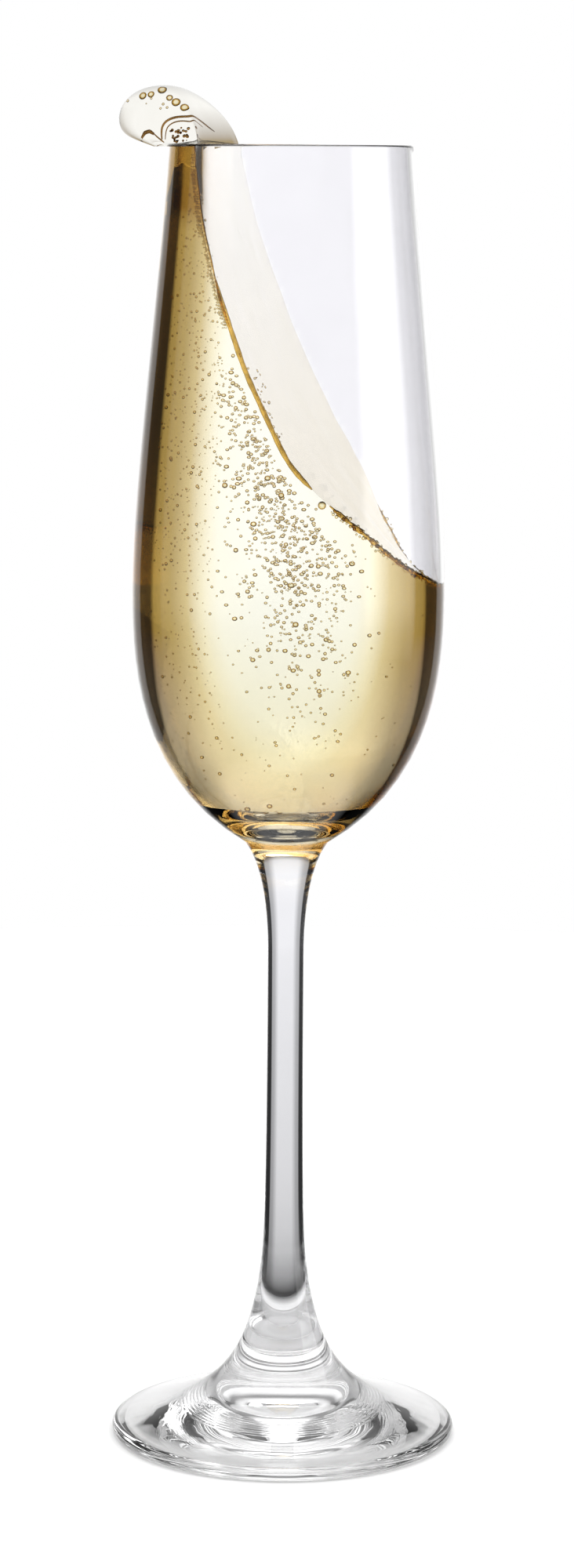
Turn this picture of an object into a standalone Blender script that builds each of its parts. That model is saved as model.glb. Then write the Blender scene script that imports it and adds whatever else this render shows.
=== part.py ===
"""A stemmed flute glass with sparkling wine that has been swung up one side of the bowl.

The wine runs up the left wall in a steep wave, leaves the bowl over the rim and hangs outside it in a
rounded crest. Metres, +Z up. The origin is on the glass's axis, on the surface that the foot rests on.
"""
import math

import bmesh
import bpy
from mathutils import Vector
from mathutils.geometry import interpolate_bezier

MM = 0.001

# Driving dimensions, in millimetres.
GLASS_HEIGHT = 235.0
BELLY_RADIUS = 28.0
BELLY_HEIGHT = 156.0
LIP_RADIUS = 21.05        # middle of the wall at the lip
LIP_WALL = 1.0            # wall thickness at the lip
BELLY_WALL = 1.0          # wall thickness at the belly
WELL_HEIGHT = 113.4       # lowest point of the bowl's inside
COLLAR_RADIUS = 7.7       # where the bowl's underside turns into the stem
COLLAR_HEIGHT = 110.5
STEM_RADIUS = 3.28
FLARE_RADIUS = 13.3       # where the stem's flare turns into the top of the foot
FLARE_HEIGHT = 9.9
FOOT_RADIUS = 31.45
FOOT_EDGE = 2.7           # thickness of the foot at its rounded edge
REST_RADIUS = 28.6        # inner edge of the flat ring that the glass stands on
HOLLOW_HEIGHT = 2.3       # the underside's hollow, beside the dimple in its middle
DIMPLE_RADIUS = 9.6
DIMPLE_HEIGHT = 4.6       # the dimple's highest point, on the axis
CLEARANCE = 0.3           # between the wine and the glass

SWING = math.radians(167.0)   # the way the wine is thrown, from +X towards +Y
WAVE_HALF_WIDTH = 34.0        # how far the wave's form reaches to each side of that line
FACE_TOP = (12.9, 231.0)      # the open face where it nears the lip: along the swing, height
FACE_LEAN = 0.17              # how far it still leans into the swing there, as a slope
TWIST_HEIGHT = 181.0          # below this the open face turns away from the swing
LOW_TWIST = 0.25              # how far it has turned near the bottom, as a slope
CREST_HEIGHT = 10.25          # crest above the lip
CREST_REACH = 9.6             # crest beyond the outside of the lip
CREST_MIDDLE = 0.2            # the crest's middle, measured across the swing
CREST_HALF_WIDTH = 16.4       # the crest meets the lip this far to each side of its middle
CREST_TALLNESS = 0.4          # low values keep the crest tall almost to its ends
CREST_ROUNDNESS = 0.75        # high values round the crest's outline as seen from above

SEGMENTS = 56
SLICES = 20


def clear_scene():
    for old in list(bpy.data.objects):
        bpy.data.objects.remove(old, do_unlink=True)


def curve(start, handle_a, handle_b, end, steps):
    """Points of one Bezier stretch in the plane, without its last point."""
    corners = [Vector((u, v, 0.0)) for u, v in (start, handle_a, handle_b, end)]
    points = interpolate_bezier(*corners, steps + 1)
    return [(p.x, p.y) for p in points[:-1]]


def arc(centre, radius, first_deg, last_deg, steps):
    """Points of a round stretch, both ends included."""
    points = []
    for i in range(steps + 1):
        angle = math.radians(first_deg + (last_deg - first_deg) * i / steps)
        points.append((centre[0] + radius * math.cos(angle), centre[1] + radius * math.sin(angle)))
    return points


def well_and_inner_wall(inset):
    """The inside of the bowl from its lowest point up to the lip, moved in by inset."""
    belly = BELLY_RADIUS - BELLY_WALL - inset
    lip = LIP_RADIUS - LIP_WALL / 2 - inset
    lip_height = GLASS_HEIGHT - LIP_WALL / 2
    well = WELL_HEIGHT + inset
    lower = curve((0.0, well), (15.5, well), (belly, 130.0), (belly, BELLY_HEIGHT), steps=9)
    upper = curve((belly, BELLY_HEIGHT), (belly, 174.0), (lip + 1.4, 213.0), (lip, lip_height), steps=5)
    return lower + upper


def glass_outline():
    lip_height = GLASS_HEIGHT - LIP_WALL / 2
    outer_lip = (LIP_RADIUS + LIP_WALL / 2, lip_height)
    belly = (BELLY_RADIUS, BELLY_HEIGHT)
    collar = (COLLAR_RADIUS, COLLAR_HEIGHT)
    stem_top = (STEM_RADIUS, 90.0)
    stem_foot = (3.65, 40.0)
    flare = (FLARE_RADIUS, FLARE_HEIGHT)
    edge_radius = FOOT_EDGE / 2
    edge_centre = (FOOT_RADIUS - edge_radius, edge_radius)
    edge = arc(edge_centre, edge_radius, 70.0, -90.0, 5)
    outline = well_and_inner_wall(0.0)
    outline += arc((LIP_RADIUS, lip_height), LIP_WALL / 2, 180.0, 0.0, 4)[:-1]
    outline += curve(outer_lip, (23.0, 213.0), (BELLY_RADIUS, 174.0), belly, steps=5)
    outline += curve(belly, (BELLY_RADIUS, 144.0), (27.7, 122.4), collar, steps=10)
    outline += curve(collar, (3.85, 105.9), (3.3, 95.6), stem_top, steps=5)
    outline += curve(stem_top, (3.24, 74.0), (3.3, 47.0), stem_foot, steps=3)
    outline += curve(stem_foot, (4.1, 24.4), (7.4, 14.8), flare, steps=7)
    outline += curve(flare, (15.5, 8.0), (20.5, 5.8), edge[0], steps=4)
    outline += edge
    hollow = (DIMPLE_RADIUS + 0.4, HOLLOW_HEIGHT)
    outline += curve((REST_RADIUS, 0.0), (25.0, 0.8), (17.0, 2.2), hollow, steps=3)
    dimple = (DIMPLE_RADIUS, HOLLOW_HEIGHT)
    outline.append(hollow)
    outline += curve(dimple, (8.6, 3.6), (5.0, DIMPLE_HEIGHT), (0.0, DIMPLE_HEIGHT), steps=4)
    outline.append((0.0, DIMPLE_HEIGHT))
    return outline


def jacket_outline():
    """Everything that the wine has to stay out of, from the bowl's inside to far outside the glass."""
    lip_height = GLASS_HEIGHT - LIP_WALL / 2
    over_lip = arc((LIP_RADIUS, lip_height), LIP_WALL / 2 + CLEARANCE, 180.0, 90.0, 3)
    outline = well_and_inner_wall(CLEARANCE) + over_lip
    outline += [(60.0, GLASS_HEIGHT + CLEARANCE), (60.0, WELL_HEIGHT - 20.0), (0.0, WELL_HEIGHT - 20.0)]
    return outline


def turned(name, outline):
    """A solid of revolution about the Z axis. The outline runs down its outer side."""
    mesh = bpy.data.meshes.new(name)
    points = [(r * MM, 0.0, z * MM) for r, z in outline]
    edges = [(i, i + 1) for i in range(len(points) - 1)]
    mesh.from_pydata(points, edges, [])
    thing = bpy.data.objects.new(name, mesh)
    bpy.context.scene.collection.objects.link(thing)
    screw = thing.modifiers.new("Turn", "SCREW")
    screw.axis = "Z"
    screw.angle = math.tau
    screw.steps = SEGMENTS
    screw.render_steps = SEGMENTS
    screw.use_merge_vertices = True
    screw.merge_threshold = 0.000001
    screw.use_smooth_shade = True
    return thing


def crest_share(across):
    """One at the crest's middle, next to nothing at and beyond its two ends."""
    share = (across - CREST_MIDDLE) / CREST_HALF_WIDTH
    return max(0.02, 1.0 - share * share)


def wave_face(across):
    """The open face of the wave, from the far wall up to the lip, as (along the swing, height) pairs.

    Low down the face turns away from the swing, so it stands higher on the +across side.
    """
    profile = curve((-28.0, 157.4), (-23.0, 158.6), (-15.5, 167.5), (-7.0, 178.9), steps=6)
    profile += curve((-7.0, 178.9), (-1.0, 187.3), (9.2, 209.0), FACE_TOP, steps=7)
    face = [(-36.0, 100.0), (-36.0, 157.0)]
    for along, height in profile:
        low = max(0.0, (TWIST_HEIGHT - height) / (TWIST_HEIGHT - 160.0))
        face.append((along - across * LOW_TWIST * low ** 1.5, height))
    return face


def crest_outline(across):
    """From the top of the open face over the crest, round its brow and back under it to the lip."""
    tall = crest_share(across) ** CREST_TALLNESS
    out = crest_share(across) ** CREST_ROUNDNESS
    lip_outside = LIP_RADIUS + LIP_WALL / 2
    lip_along = math.sqrt(max(lip_outside ** 2 - across ** 2, 12.5 ** 2))
    sunk = 5.0 * (1.0 - tall)
    top = GLASS_HEIGHT + CREST_HEIGHT * tall - sunk
    brow = (lip_along + 1.5 * out, top)
    reach = lip_along + CREST_REACH * out
    bulge = GLASS_HEIGHT + 4.3 * tall - sunk
    underside = GLASS_HEIGHT + 0.5 * tall - sunk
    root = (lip_along + 3.0 * out, underside)
    rise = 0.55 * (top - FACE_TOP[1])
    above_face = (FACE_TOP[0] + FACE_LEAN * rise, FACE_TOP[1] + rise)
    crest = curve(FACE_TOP, above_face, (brow[0] - 7.0 * tall, top), brow, steps=5)
    crest += curve(brow, (brow[0] + 4.6 * out, top), (reach, bulge + 3.5 * tall), (reach, bulge), steps=4)
    crest += curve((reach, bulge), (reach, bulge - 2.9 * tall), (reach - 2.8 * out, underside), root, steps=4)
    crest.append(root)
    return crest


def wave_slice(across):
    """Outline of the wine in one upright plane, behind the lip down to below the bowl."""
    crest = crest_outline(across)
    behind = [(crest[-1][0] - 1.5, GLASS_HEIGHT - 6.0), (36.0, GLASS_HEIGHT - 8.0), (36.0, 100.0)]
    return wave_face(across) + crest + behind


def slice_places():
    """Slices crowd towards the crest's two ends, where its outline turns down to the lip."""
    places = [-WAVE_HALF_WIDTH]
    for i in range(SLICES + 1):
        places.append(CREST_MIDDLE - CREST_HALF_WIDTH * math.cos(math.pi * i / SLICES))
    places.append(WAVE_HALF_WIDTH)
    return places


def wave_body():
    """The whole wave as one lofted solid, wider than the bowl, to be cut by the jacket."""
    mesh = bmesh.new()
    cos_swing = math.cos(SWING)
    sin_swing = math.sin(SWING)
    loops = []
    for across in slice_places():
        loop = []
        for along, height in wave_slice(across):
            x = along * cos_swing - across * sin_swing
            y = along * sin_swing + across * cos_swing
            loop.append(mesh.verts.new((x * MM, y * MM, height * MM)))
        loops.append(loop)
    count = len(loops[0])
    for near, far in zip(loops, loops[1:]):
        for i in range(count):
            j = (i + 1) % count
            mesh.faces.new((near[i], near[j], far[j], far[i]))
    mesh.faces.new(loops[0])
    mesh.faces.new(list(reversed(loops[-1])))
    bmesh.ops.recalc_face_normals(mesh, faces=mesh.faces)
    data = bpy.data.meshes.new("champagne")
    mesh.to_mesh(data)
    mesh.free()
    thing = bpy.data.objects.new("champagne", data)
    bpy.context.scene.collection.objects.link(thing)
    return thing


def material(name, colour, roughness, alpha):
    made = bpy.data.materials.new(name)
    made.use_nodes = True
    shader = made.node_tree.nodes["Principled BSDF"]
    shader.inputs["Base Color"].default_value = colour
    shader.inputs["Roughness"].default_value = roughness
    shader.inputs["Metallic"].default_value = 0.0
    shader.inputs["Transmission Weight"].default_value = 1.0
    shader.inputs["Alpha"].default_value = alpha
    return made


def build_glass():
    glass = turned("glass", glass_outline())
    glass.data.materials.append(material("clear_glass", (0.93, 0.94, 0.97, 1.0), 0.02, 0.35))
    return glass


def build_champagne():
    wine = wave_body()
    jacket = turned("jacket_cutter", jacket_outline())
    jacket.hide_render = True
    jacket.display_type = "WIRE"
    cut = wine.modifiers.new("Kept inside the bowl", "BOOLEAN")
    cut.operation = "DIFFERENCE"
    cut.solver = "EXACT"
    cut.object = jacket
    wine.data.shade_smooth()
    wine.data.materials.append(material("pale_gold_wine", (0.93, 0.76, 0.36, 1.0), 0.03, 0.6))
    return wine


clear_scene()
build_glass()
build_champagne()
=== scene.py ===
# %% [markdown]
# # Sparkling wine swung up the wall of its flute glass
# The object is a clear flute glass, and the wine in it has just been thrown up one side and over the
# lip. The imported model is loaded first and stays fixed. It gives the sizes and places that the looks
# start from, and its plain nodes are replaced one by one by finer pieces of the same outline.

# %% Load the frame
import math
import random

import bpy
import numpy as np
from mathutils import Matrix, Vector
from mathutils.geometry import interpolate_bezier


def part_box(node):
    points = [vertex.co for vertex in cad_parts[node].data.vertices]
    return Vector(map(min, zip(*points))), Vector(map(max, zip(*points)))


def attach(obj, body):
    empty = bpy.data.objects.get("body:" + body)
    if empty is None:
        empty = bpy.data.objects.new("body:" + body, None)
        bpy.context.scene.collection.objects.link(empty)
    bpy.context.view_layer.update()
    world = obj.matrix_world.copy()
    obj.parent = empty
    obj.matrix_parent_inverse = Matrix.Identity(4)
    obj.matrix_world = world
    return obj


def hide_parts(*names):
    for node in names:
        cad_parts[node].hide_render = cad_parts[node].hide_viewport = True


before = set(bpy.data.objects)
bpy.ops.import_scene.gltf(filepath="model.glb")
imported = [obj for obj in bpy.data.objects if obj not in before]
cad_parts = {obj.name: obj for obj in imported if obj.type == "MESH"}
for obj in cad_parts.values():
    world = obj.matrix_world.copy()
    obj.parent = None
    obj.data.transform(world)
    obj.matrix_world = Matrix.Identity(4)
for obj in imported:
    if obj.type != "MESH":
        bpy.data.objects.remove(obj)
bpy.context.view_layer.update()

GLASS_LOW, GLASS_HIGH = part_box("glass")
WINE_LOW, WINE_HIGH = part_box("champagne")
MM = 0.001
print("glass", GLASS_LOW, GLASS_HIGH)
print("wine", WINE_LOW, WINE_HIGH)

# %% [markdown]
# Every operator acts on what is selected, and the import leaves its objects selected. So each step
# starts by clearing the selection, and each new object is made the active one by name. Lengths in the
# cells below are millimetres until they reach a mesh, where `MM` turns them into metres.

# %% Small helpers


def start_clean():
    """Leaves edit mode and selects nothing."""
    if bpy.context.object is not None and bpy.context.object.mode != "OBJECT":
        bpy.ops.object.mode_set(mode="OBJECT")
    bpy.ops.object.select_all(action="DESELECT")


def only(thing):
    """Selects one object and makes it active."""
    start_clean()
    thing.select_set(True)
    bpy.context.view_layer.objects.active = thing


def apply_modifiers(thing):
    """Makes the effect of every modifier part of the mesh."""
    only(thing)
    for modifier in list(thing.modifiers):
        bpy.ops.object.modifier_apply(modifier=modifier.name)


def join_all(things, name):
    """Joins objects into the first one and renames it."""
    start_clean()
    for thing in things:
        thing.select_set(True)
    bpy.context.view_layer.objects.active = things[0]
    if len(things) > 1:
        bpy.ops.object.join()
    joined = bpy.context.object
    joined.name = name
    return joined


def triangles(thing):
    """Number of triangles that the object's faces split into."""
    return sum(len(face.vertices) - 2 for face in thing.data.polygons)


def curve(start, handle_a, handle_b, end, steps):
    """Points of one Bezier stretch in a plane, without its last point."""
    corners = [Vector((u, v, 0.0)) for u, v in (start, handle_a, handle_b, end)]
    return [(p.x, p.y) for p in interpolate_bezier(*corners, steps + 1)[:-1]]


def smooth_step(value):
    """Rises softly from 0 to 1 as the value does."""
    value = max(0.0, min(1.0, value))
    return value * value * (3.0 - 2.0 * value)


# %% [markdown]
# ## The camera
# A long lens stands level with the lip and looks a little down. A circle at the height of the lens is
# seen edge on, so the lip closes to a line, and the foot far below it opens to an ellipse. The camera
# is made as data and linked, because no operator is needed to give it an exact place.

# %% Camera
CAMERA_DISTANCE = 0.742
CAMERA_PITCH = math.radians(8.75)
CAMERA_ROLL = math.radians(0.41)

camera_data = bpy.data.cameras.new("camera")
camera_data.lens = 95.4
camera_data.sensor_width = 36.0
camera_data.clip_start = 0.01
camera = bpy.data.objects.new("camera", camera_data)
bpy.context.scene.collection.objects.link(camera)
camera.location = (0.0, -CAMERA_DISTANCE, GLASS_HIGH[2])
tilt = Matrix.Rotation(math.radians(90.0) - CAMERA_PITCH, 3, "X")
roll = Matrix.Rotation(CAMERA_ROLL, 3, "Z")
camera.rotation_euler = (tilt @ roll).to_euler()
bpy.context.scene.camera = camera
print("camera at", tuple(round(c, 3) for c in camera.location))

# %% [markdown]
# ## The glass
# The real glass is blown and pulled while it turns, so half of its outline is all there is to draw. It
# could be stacked from cylinders and cones, but the joints between them would show as rings. One
# Bezier curve with a knot wherever the glass changes direction keeps the wall flowing from the lip to
# the foot. The curve becomes a chain of edges, and a spin round the upright axis makes it a solid wall.

# %% Outline of the glass, as knots with their two handles
HEIGHT = (GLASS_HIGH[2] - GLASS_LOW[2]) / MM
FOOT_RADIUS = (GLASS_HIGH[0] - GLASS_LOW[0]) / 2 / MM
WALL = 1.0            # thickness of the bowl's wall
LIP_RADIUS = 21.05    # middle of the wall at the lip
LIP_HALF = WALL / 2
LIP_OUTSIDE = LIP_RADIUS + LIP_HALF
LIP_LEVEL = HEIGHT - LIP_HALF
BELLY_RADIUS = 28.0
BELLY_HEIGHT = 156.0
BELLY_INSIDE = BELLY_RADIUS - WALL
LIP_INSIDE = LIP_RADIUS - LIP_HALF
WELL_HEIGHT = 113.4   # lowest point of the bowl's inside
ROUND = 0.5523        # handle length that makes a Bezier quarter circle of radius one
EDGE = 1.35           # radius of the foot's rounded edge

INNER_KNOTS = [
    # (radius, height), handle before, handle after
    ((0.0, WELL_HEIGHT), None, (15.5, WELL_HEIGHT)),
    ((BELLY_INSIDE, BELLY_HEIGHT), (BELLY_INSIDE, 130.0), (BELLY_INSIDE, 174.0)),
    ((LIP_INSIDE, LIP_LEVEL), (LIP_INSIDE + 1.4, 213.0), (LIP_INSIDE, LIP_LEVEL + LIP_HALF * ROUND)),
]
OUTER_KNOTS = [
    ((LIP_RADIUS, HEIGHT), (LIP_RADIUS - LIP_HALF * ROUND, HEIGHT), (LIP_RADIUS + LIP_HALF * ROUND, HEIGHT)),
    ((LIP_OUTSIDE, LIP_LEVEL), (LIP_OUTSIDE, LIP_LEVEL + LIP_HALF * ROUND), (23.0, 213.0)),
    ((BELLY_RADIUS, BELLY_HEIGHT), (BELLY_RADIUS, 174.0), (BELLY_RADIUS, 144.0)),
    ((7.7, 110.5), (27.7, 122.4), (3.85, 105.9)),
    ((3.28, 90.0), (3.3, 95.6), (3.24, 74.0)),
    ((3.65, 40.0), (3.3, 47.0), (4.1, 24.4)),
    ((13.3, 9.9), (7.4, 14.8), (15.5, 8.0)),
    ((FOOT_RADIUS - EDGE, 2 * EDGE), (20.5, 5.8), (FOOT_RADIUS - EDGE * (1 - ROUND), 2 * EDGE)),
    ((FOOT_RADIUS, EDGE), (FOOT_RADIUS, EDGE * (1 + ROUND)), (FOOT_RADIUS, EDGE * (1 - ROUND))),
    ((FOOT_RADIUS - EDGE, 0.0), (FOOT_RADIUS - EDGE * (1 - ROUND), 0.0), None),
    ((28.6, 0.0), None, (25.0, 0.8)),
    ((10.0, 2.3), (17.0, 2.2), None),
    ((9.6, 2.3), None, (8.6, 3.6)),
    ((0.0, 4.6), (5.0, 4.6), None),
]
print("knots:", len(INNER_KNOTS), "inside and", len(OUTER_KNOTS), "outside")

# %% Radius of the bowl's inside at any height
inner_line = []
for (knot, _, after), (next_knot, before, _) in zip(INNER_KNOTS, INNER_KNOTS[1:]):
    inner_line += curve(knot, after, before, next_knot, steps=160)
inner_line.append(INNER_KNOTS[-1][0])
inner_radii = np.array([p[0] for p in inner_line])
inner_heights = np.array([p[1] for p in inner_line])


def bowl_radius(height):
    """Inner radius of the bowl at a height, both in millimetres."""
    return float(np.interp(height, inner_heights, inner_radii))


print("inner radius at the belly and the lip:", bowl_radius(BELLY_HEIGHT), round(bowl_radius(LIP_LEVEL), 2))

# %% Draw an outline and spin it


def draw_outline(name, knots, steps):
    """Draws knots as a Bezier curve in the XZ plane and turns it into a chain of edges."""
    start_clean()
    bpy.ops.curve.primitive_bezier_curve_add(location=(0.0, 0.0, 0.0))
    line = bpy.context.object
    line.name = name
    line.data.resolution_u = steps
    spline = line.data.splines[0]
    spline.bezier_points.add(len(knots) - 2)
    for point, (knot, before, after) in zip(spline.bezier_points, knots):
        point.handle_left_type = "FREE"
        point.handle_right_type = "FREE"
        point.co = (knot[0] * MM, 0.0, knot[1] * MM)
        before = before or knot
        after = after or knot
        point.handle_left = (before[0] * MM, 0.0, before[1] * MM)
        point.handle_right = (after[0] * MM, 0.0, after[1] * MM)
    only(line)
    bpy.ops.object.convert(target="MESH")
    return bpy.context.object


def spin_about_axis(thing, steps):
    """Spins the chain of edges once round Z and closes its seam and its poles."""
    only(thing)
    bpy.ops.object.mode_set(mode="EDIT")
    bpy.ops.mesh.select_all(action="SELECT")
    bpy.ops.mesh.spin(steps=steps, angle=math.tau, center=(0.0, 0.0, 0.0), axis=(0.0, 0.0, 1.0))
    bpy.ops.mesh.select_all(action="SELECT")
    bpy.ops.mesh.remove_doubles(threshold=0.000002)
    bpy.ops.mesh.normals_make_consistent(inside=False)
    bpy.ops.object.mode_set(mode="OBJECT")


glass = draw_outline("flute_glass", INNER_KNOTS + OUTER_KNOTS, steps=14)
print("outline points:", len(glass.data.vertices))

# %% [markdown]
# A pressed foot keeps faint rings on its underside, from the mould that shaped it. They are finer than
# the outline's points, so that stretch is subdivided first and then lifted in small waves. It happens
# before the spin, while the glass is still a chain of edges and a point stands for a whole ring.

# %% Mould rings under the foot
RINGS_FROM = 10.6     # radius of the innermost ring
RINGS_TO = 18.0
RING_PITCH = 0.75
RING_DEPTH = 0.035
UNDERSIDE = 2.6       # the foot's hollow lies below this height


def subdivide_where(thing, chosen, cuts):
    """Cuts the edges whose two ends both pass the test."""
    only(thing)
    bpy.ops.object.mode_set(mode="EDIT")
    bpy.ops.mesh.select_mode(type="EDGE")
    bpy.ops.mesh.select_all(action="DESELECT")
    bpy.ops.object.mode_set(mode="OBJECT")
    for edge in thing.data.edges:
        edge.select = all(chosen(thing.data.vertices[i].co) for i in edge.vertices)
    bpy.ops.object.mode_set(mode="EDIT")
    bpy.ops.mesh.subdivide(number_cuts=cuts)
    bpy.ops.object.mode_set(mode="OBJECT")


def under_foot(place):
    """True on the stretch of the foot's underside that has rings."""
    return RINGS_FROM < place.x / MM < RINGS_TO and place.z / MM < UNDERSIDE


subdivide_where(glass, under_foot, cuts=6)
for vertex in glass.data.vertices:
    if under_foot(vertex.co):
        radius = vertex.co.x / MM
        swell = math.sin(math.pi * (radius - RINGS_FROM) / (RINGS_TO - RINGS_FROM))
        vertex.co.z += RING_DEPTH * MM * swell * math.sin(math.tau * radius / RING_PITCH)
print("outline points with the rings:", len(glass.data.vertices))

# %% Finer steps up the inner wall, where the wine's edge will show, then the spin
FINER_FROM = 150.0    # a little below the lowest place that the wine's edge reaches
NEAR_WALL = 0.3       # slack in telling the inner wall from the outer one


def on_inner_wall(place):
    """True on the bowl's inner wall where the wine's edge can lie."""
    return place.z > FINER_FROM * MM and place.x < (bowl_radius(place.z / MM) + NEAR_WALL) * MM


subdivide_where(glass, on_inner_wall, cuts=3)
for vertex in glass.data.vertices:
    if on_inner_wall(vertex.co) and vertex.co.z < (LIP_LEVEL - 0.01) * MM:
        vertex.co.x = bowl_radius(vertex.co.z / MM) * MM
spin_about_axis(glass, steps=144)
glass.data.shade_smooth()
print("glass triangles:", triangles(glass))

# %% [markdown]
# ## The wine
# The wine is thrown towards one side, and it leaves the bowl there in a rounded crest. A fluid
# simulation could throw it, but it would take long and never stop at just this form. So the form is
# worked out slice by slice. Seen in an upright plane along the swing, the outline climbs the open face
# of the wave, goes over the crest and comes back under it to the lip. The slices differ only in how
# tall and how far out the crest is, and in how much the face has turned near the bottom. All of these
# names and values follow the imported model's own.

# %% Shape of the wave
SWING = math.radians(167.0)   # the way the wine is thrown, from +X towards +Y
COS_SWING = math.cos(SWING)
SIN_SWING = math.sin(SWING)
FACE_TOP = (12.9, 231.0)      # the open face where it nears the lip: along the swing, height
FACE_LEAN = 0.17              # how far it still leans into the swing there, as a slope
TWIST_HEIGHT = 181.0          # below this the open face turns away from the swing
LOW_TWIST = 0.25              # how far it has turned near the bottom, as a slope
CREST_HEIGHT = WINE_HIGH[2] / MM - HEIGHT
CREST_REACH = 9.6             # crest beyond the outside of the lip
CREST_MIDDLE = 0.2            # the crest's middle, measured across the swing
CREST_HALF_WIDTH = 16.4       # the crest meets the lip this far to each side of its middle
CREST_TALLNESS = 0.4          # low values keep the crest tall almost to its ends
CREST_ROUNDNESS = 0.75        # high values round the crest's outline as seen from above
DIP = 0.15            # how far the wine reaches into the glass
WINE_INDEX = 1.34

FACE_PROFILE = curve((-28.0, 157.4), (-23.0, 158.6), (-15.5, 167.5), (-7.0, 178.9), steps=62)
FACE_PROFILE += curve((-7.0, 178.9), (-1.0, 187.3), (9.2, 209.0), FACE_TOP, steps=110)
face_alongs = np.array([p[0] for p in FACE_PROFILE])
face_heights = np.array([p[1] for p in FACE_PROFILE])
FAR = 36.0            # beyond the wall on both sides, along the swing
BELOW = 100.0         # a height below the well
FACE_FOOT = 157.0     # the open face starts a little above this height
print("open face:", len(FACE_PROFILE), "points, crest", round(CREST_HEIGHT, 2), "above the lip")

# %% Turning between the room's directions and those of the swing


def to_swing(x, y):
    """Distances along and across the swing, from x and y."""
    return x * COS_SWING + y * SIN_SWING, -x * SIN_SWING + y * COS_SWING


def from_swing(along, across):
    """x and y, from distances along and across the swing."""
    return along * COS_SWING - across * SIN_SWING, along * SIN_SWING + across * COS_SWING


def wall_radius(height):
    """Radius of the wine's wetted wall, a little inside the glass."""
    return bowl_radius(height) + DIP


# %% The open face of the wave


def crest_share(across):
    """How much of the crest is left at a distance across the swing, from 1 to almost 0."""
    share = (across - CREST_MIDDLE) / CREST_HALF_WIDTH
    return max(0.02, 1.0 - share * share)


def face_twist(across, height):
    """How far the open face has turned back near the bottom."""
    low = max(0.0, (TWIST_HEIGHT - height) / (TWIST_HEIGHT - 160.0))
    return across * LOW_TWIST * low ** 1.5


def ripple(across, height):
    """Small swells that run along the open face, in millimetres."""
    slow = 0.12 * math.sin(0.21 * height + 0.35 * across) + 0.07 * math.sin(0.37 * height - 0.6 * across)
    return slow + 0.02 * math.sin(0.9 * across + 0.6 * math.sin(0.3 * height))


def wave_face(across):
    """Outline of one slice from below the wine up to where the face nears the lip."""
    face = [(-FAR, BELOW), (-FAR, FACE_FOOT)]
    for along, height in FACE_PROFILE:
        face.append((along - face_twist(across, height) + ripple(across, height), height))
    return face


def face_along(across, height):
    """How far along the swing the open face stands at a height."""
    if height < face_heights[0]:
        return -FAR
    base = float(np.interp(height, face_heights, face_alongs))
    return base - face_twist(across, height) + ripple(across, height)


# %% The crest, and a whole slice


def crest_outline(across):
    """Outline of one slice over the crest and back under it to the lip."""
    tall = crest_share(across) ** CREST_TALLNESS
    out = crest_share(across) ** CREST_ROUNDNESS
    lip_along = math.sqrt(max(LIP_OUTSIDE ** 2 - across ** 2, 12.5 ** 2))
    sunk = 5.0 * (1.0 - tall)
    top = HEIGHT + CREST_HEIGHT * tall - sunk
    brow = (lip_along + 1.5 * out, top)
    reach = lip_along + CREST_REACH * out
    bulge = HEIGHT + 4.3 * tall - sunk
    underside = HEIGHT + 0.5 * tall - sunk
    root = (lip_along + 3.0 * out, underside)
    rise = 0.55 * (top - FACE_TOP[1])
    above_face = (FACE_TOP[0] + FACE_LEAN * rise, FACE_TOP[1] + rise)
    crest = curve(FACE_TOP, above_face, (brow[0] - 7.0 * tall, top), brow, steps=34)
    crest += curve(brow, (brow[0] + 4.6 * out, top), (reach, bulge + 3.5 * tall), (reach, bulge), steps=26)
    turning_in = (reach - 2.8 * out, underside)
    crest += curve((reach, bulge), (reach, bulge - 2.9 * tall), turning_in, root, steps=20)
    lip_point = (lip_along - 0.3, min(underside, HEIGHT) - 0.9)
    back_in = (lip_along + 0.3, lip_point[1] + 0.7)
    crest += curve(root, (root[0] - 1.6 * out, underside), back_in, lip_point, steps=8)
    crest.append(lip_point)
    return crest


def wave_slice(across):
    """The closed outline of the wave in one plane along the swing."""
    crest = crest_outline(across)
    behind = [(crest[-1][0], HEIGHT - 3.0), (FAR, HEIGHT - 7.0), (FAR, BELOW)]
    return wave_face(across) + crest + behind


print("points in a slice:", len(wave_slice(0.0)))

# %% [markdown]
# A flat grid is laid round the slices like paper round a core. Each of its columns takes one point of
# the outline and each of its rows takes one slice, so the grid's own faces become the wave's surface,
# even and in order. Its two long edges meet at the seam and are merged, and its ends are filled.

# %% Roll a grid round the wave
SLICE_STEP = 0.5
SLICE_REACH = 27.0
FORM_REACH = 34.0     # the first and the last slice lie outside the bowl
inner_slices = list(np.arange(-SLICE_REACH, SLICE_REACH + 0.1, SLICE_STEP))
across_places = [-FORM_REACH] + inner_slices + [FORM_REACH]
outline_count = len(wave_slice(0.0))
start_clean()
bpy.ops.mesh.primitive_grid_add(
    x_subdivisions=outline_count, y_subdivisions=len(across_places) - 1, size=1.0, location=(0.0, 0.0, 0.0)
)
wine = bpy.context.object
wine.name = "sparkling_wine"
spots = np.empty(len(wine.data.vertices) * 3)
wine.data.vertices.foreach_get("co", spots)
spots = spots.reshape(-1, 3)
column = np.rint((spots[:, 0] + 0.5) * outline_count).astype(int)
row = np.rint((spots[:, 1] + 0.5) * (len(across_places) - 1)).astype(int)
slices = np.array([wave_slice(a) for a in across_places])
along = slices[row, column % outline_count, 0]
height = slices[row, column % outline_count, 1]
across = np.array(across_places)[row]
spots[:, 0] = (along * COS_SWING - across * SIN_SWING) * MM
spots[:, 1] = (along * SIN_SWING + across * COS_SWING) * MM
spots[:, 2] = height * MM
wine.data.vertices.foreach_set("co", spots.ravel())
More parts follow.
